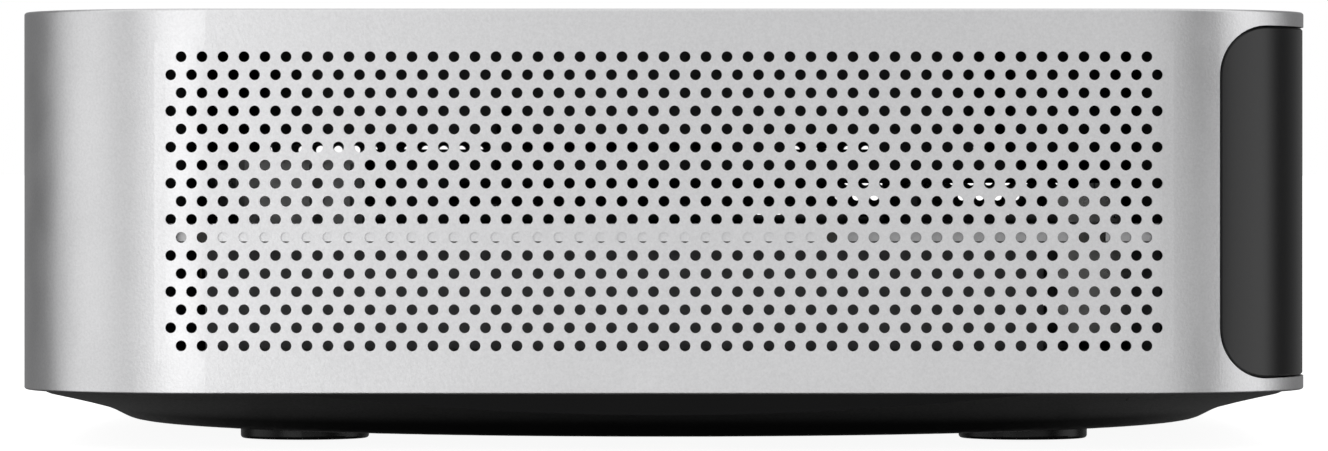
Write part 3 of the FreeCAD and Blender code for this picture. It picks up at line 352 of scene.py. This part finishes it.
def make_lamp_lenses():
    """The two small lamp windows over the network socket's plug bay."""
    low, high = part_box("network_port")
    middle_x = (low.x + high.x) / 2
    middle_y = high.y - LENS_RECESS - LENS_SIZE[1] / 2
    for side, name in ((-1, "lamp_lens_left"), (1, "lamp_lens_right")):
        place = (middle_x + side * LENS_APART / 2, middle_y, high.z - LENS_DROP)
        form = bmesh.new()
        bmesh.ops.create_cube(form, size=1.0)
        for vertex in form.verts:
            vertex.co = [at + part * size for at, part, size in zip(place, vertex.co, LENS_SIZE)]
        outer = [edge for edge in form.edges if all(end.co.y > middle_y for end in edge.verts)]
        bmesh.ops.bevel(form, geom=outer, offset=LENS_ROUND, segments=LENS_STEPS, affect="EDGES")
        mesh = bpy.data.meshes.new(name)
        form.to_mesh(mesh)
        form.free()
        mesh.materials.append(materials["clear_plastic"].material)
        lens = bpy.data.objects.new(name, mesh)
        bpy.context.scene.collection.objects.link(lens)
        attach(lens, "case")


# ---- stage -------------------------------------------------------------------------------------
FLOOR_SIZE = 40.0
FLOOR_DROP = 0.2 * MM  # under the feet, so that their undersides and the floor are not one plane
# tall soft panels: azimuth (0 is +X, 90 is +Y), half width at full strength and at none, strength
PANELS = [
    (4, 30, 46, 0.585),
    (-80, 12, 33, 0.83),
    (87, 9, 28, 1.02),
    (180, 10, 66, 0.13),
]
AMBIENT = 0.06
HORIZON = (-30, -10)  # elevations between which the panels rise to full strength
PANEL_TOP = (35, 65)  # elevations between which they give way to the light overhead
OVERHEAD = 0.8
UNDER = 0.04  # the share of their light that is left under the horizon
WHITE = (1.0, 1.0, 1.0, 1.0)
# soft lights close by, just outside the view: name, size, middle, turn in degrees, brightness
SOFT_LIGHTS = [
    ("softbox", (0.14, 0.30), (0.206, -0.1225, 0.10), (90, 0, 90), 0.70),
    ("table_card", (0.15, 0.30), (0.14, 0.0, 0.0005), (180, 0, 0), 0.22),
]


def make_floor():
    """A floor that shows to the camera only, so that it neither lights nor shades the case."""
    bpy.ops.mesh.primitive_plane_add(size=FLOOR_SIZE, location=(0.0, 0.0, -FLOOR_DROP))
    floor = bpy.context.object
    floor.name = "floor"
    floor.data.materials.append(floor_material("floor").material)
    floor.visible_diffuse = False
    floor.visible_glossy = False
    floor.visible_transmission = False
    floor.visible_shadow = False


def make_soft_lights():
    """A tall soft light by the front end of the right wall, and a card that bounces light off the table."""
    for name, size, place, turn, brightness in SOFT_LIGHTS:
        light = bpy.data.lights.new(name, "AREA")
        light.shape = "RECTANGLE"
        light.size, light.size_y = size
        light.energy = brightness * math.pi * size[0] * size[1]
        holder = bpy.data.objects.new(name, light)
        holder.location = place
        holder.rotation_euler = [math.radians(angle) for angle in turn]
        holder.visible_camera = False
        bpy.context.scene.collection.objects.link(holder)


def make_world():
    """Soft lights around the case, in front of a white backdrop."""
    world = bpy.data.worlds.new("studio")
    world.use_nodes = True
    tree = world.node_tree
    background = tree.nodes["Background"]
    toward = tree.nodes.new("ShaderNodeTexCoord").outputs["Generated"]

    def join(operation, one, two):
        made = tree.nodes.new("ShaderNodeMath")
        made.operation = operation
        for socket, value in zip(made.inputs, (one, two)):
            if isinstance(value, float):
                socket.default_value = value
            else:
                tree.links.new(value, socket)
        return made.outputs["Value"]

    def fade(value, start, end, low, high):
        made = tree.nodes.new("ShaderNodeMapRange")
        made.interpolation_type = "SMOOTHSTEP"
        for name, number in (("From Min", start), ("From Max", end), ("To Min", low), ("To Max", high)):
            made.inputs[name].default_value = number
        tree.links.new(value, made.inputs["Value"])
        return made.outputs["Result"]

    def vector_node(operation, source, other=None):
        made = tree.nodes.new("ShaderNodeVectorMath")
        made.operation = operation
        tree.links.new(source, made.inputs[0])
        if other is not None:
            made.inputs[1].default_value = other
        return made.outputs

    level = vector_node("MULTIPLY", toward, (1.0, 1.0, 0.0))["Vector"]
    level = vector_node("NORMALIZE", level)["Vector"]
    total = AMBIENT
    for azimuth, inner, outer, strength in PANELS:
        turn = math.radians(azimuth)
        facing = vector_node("DOT_PRODUCT", level, (math.cos(turn), math.sin(turn), 0.0))["Value"]
        rim, core = (math.cos(math.radians(angle)) for angle in (outer, inner))
        total = join("ADD", fade(facing, rim, core, 0.0, strength), total)
    height = tree.nodes.new("ShaderNodeSeparateXYZ")
    tree.links.new(toward, height.inputs["Vector"])
    height = height.outputs["Z"]
    low, high = (math.sin(math.radians(angle)) for angle in HORIZON)
    total = join("MULTIPLY", total, fade(height, low, high, UNDER, 1.0))
    low, high = (math.sin(math.radians(angle)) for angle in PANEL_TOP)
    total = join("MULTIPLY", total, fade(height, low, high, 1.0, 0.0))
    lit = join("ADD", total, fade(height, low, high, 0.0, OVERHEAD))

    seen = tree.nodes.new("ShaderNodeLightPath").outputs["Is Camera Ray"]
    tree.links.new(join("MAXIMUM", lit, seen), background.inputs["Strength"])
    background.inputs["Color"].default_value = WHITE
    bpy.context.scene.world = world
    bpy.context.scene.view_settings.view_transform = "Standard"


make_camera()
dress_nodes()
make_lamp_lenses()
make_floor()
make_soft_lights()
make_world()
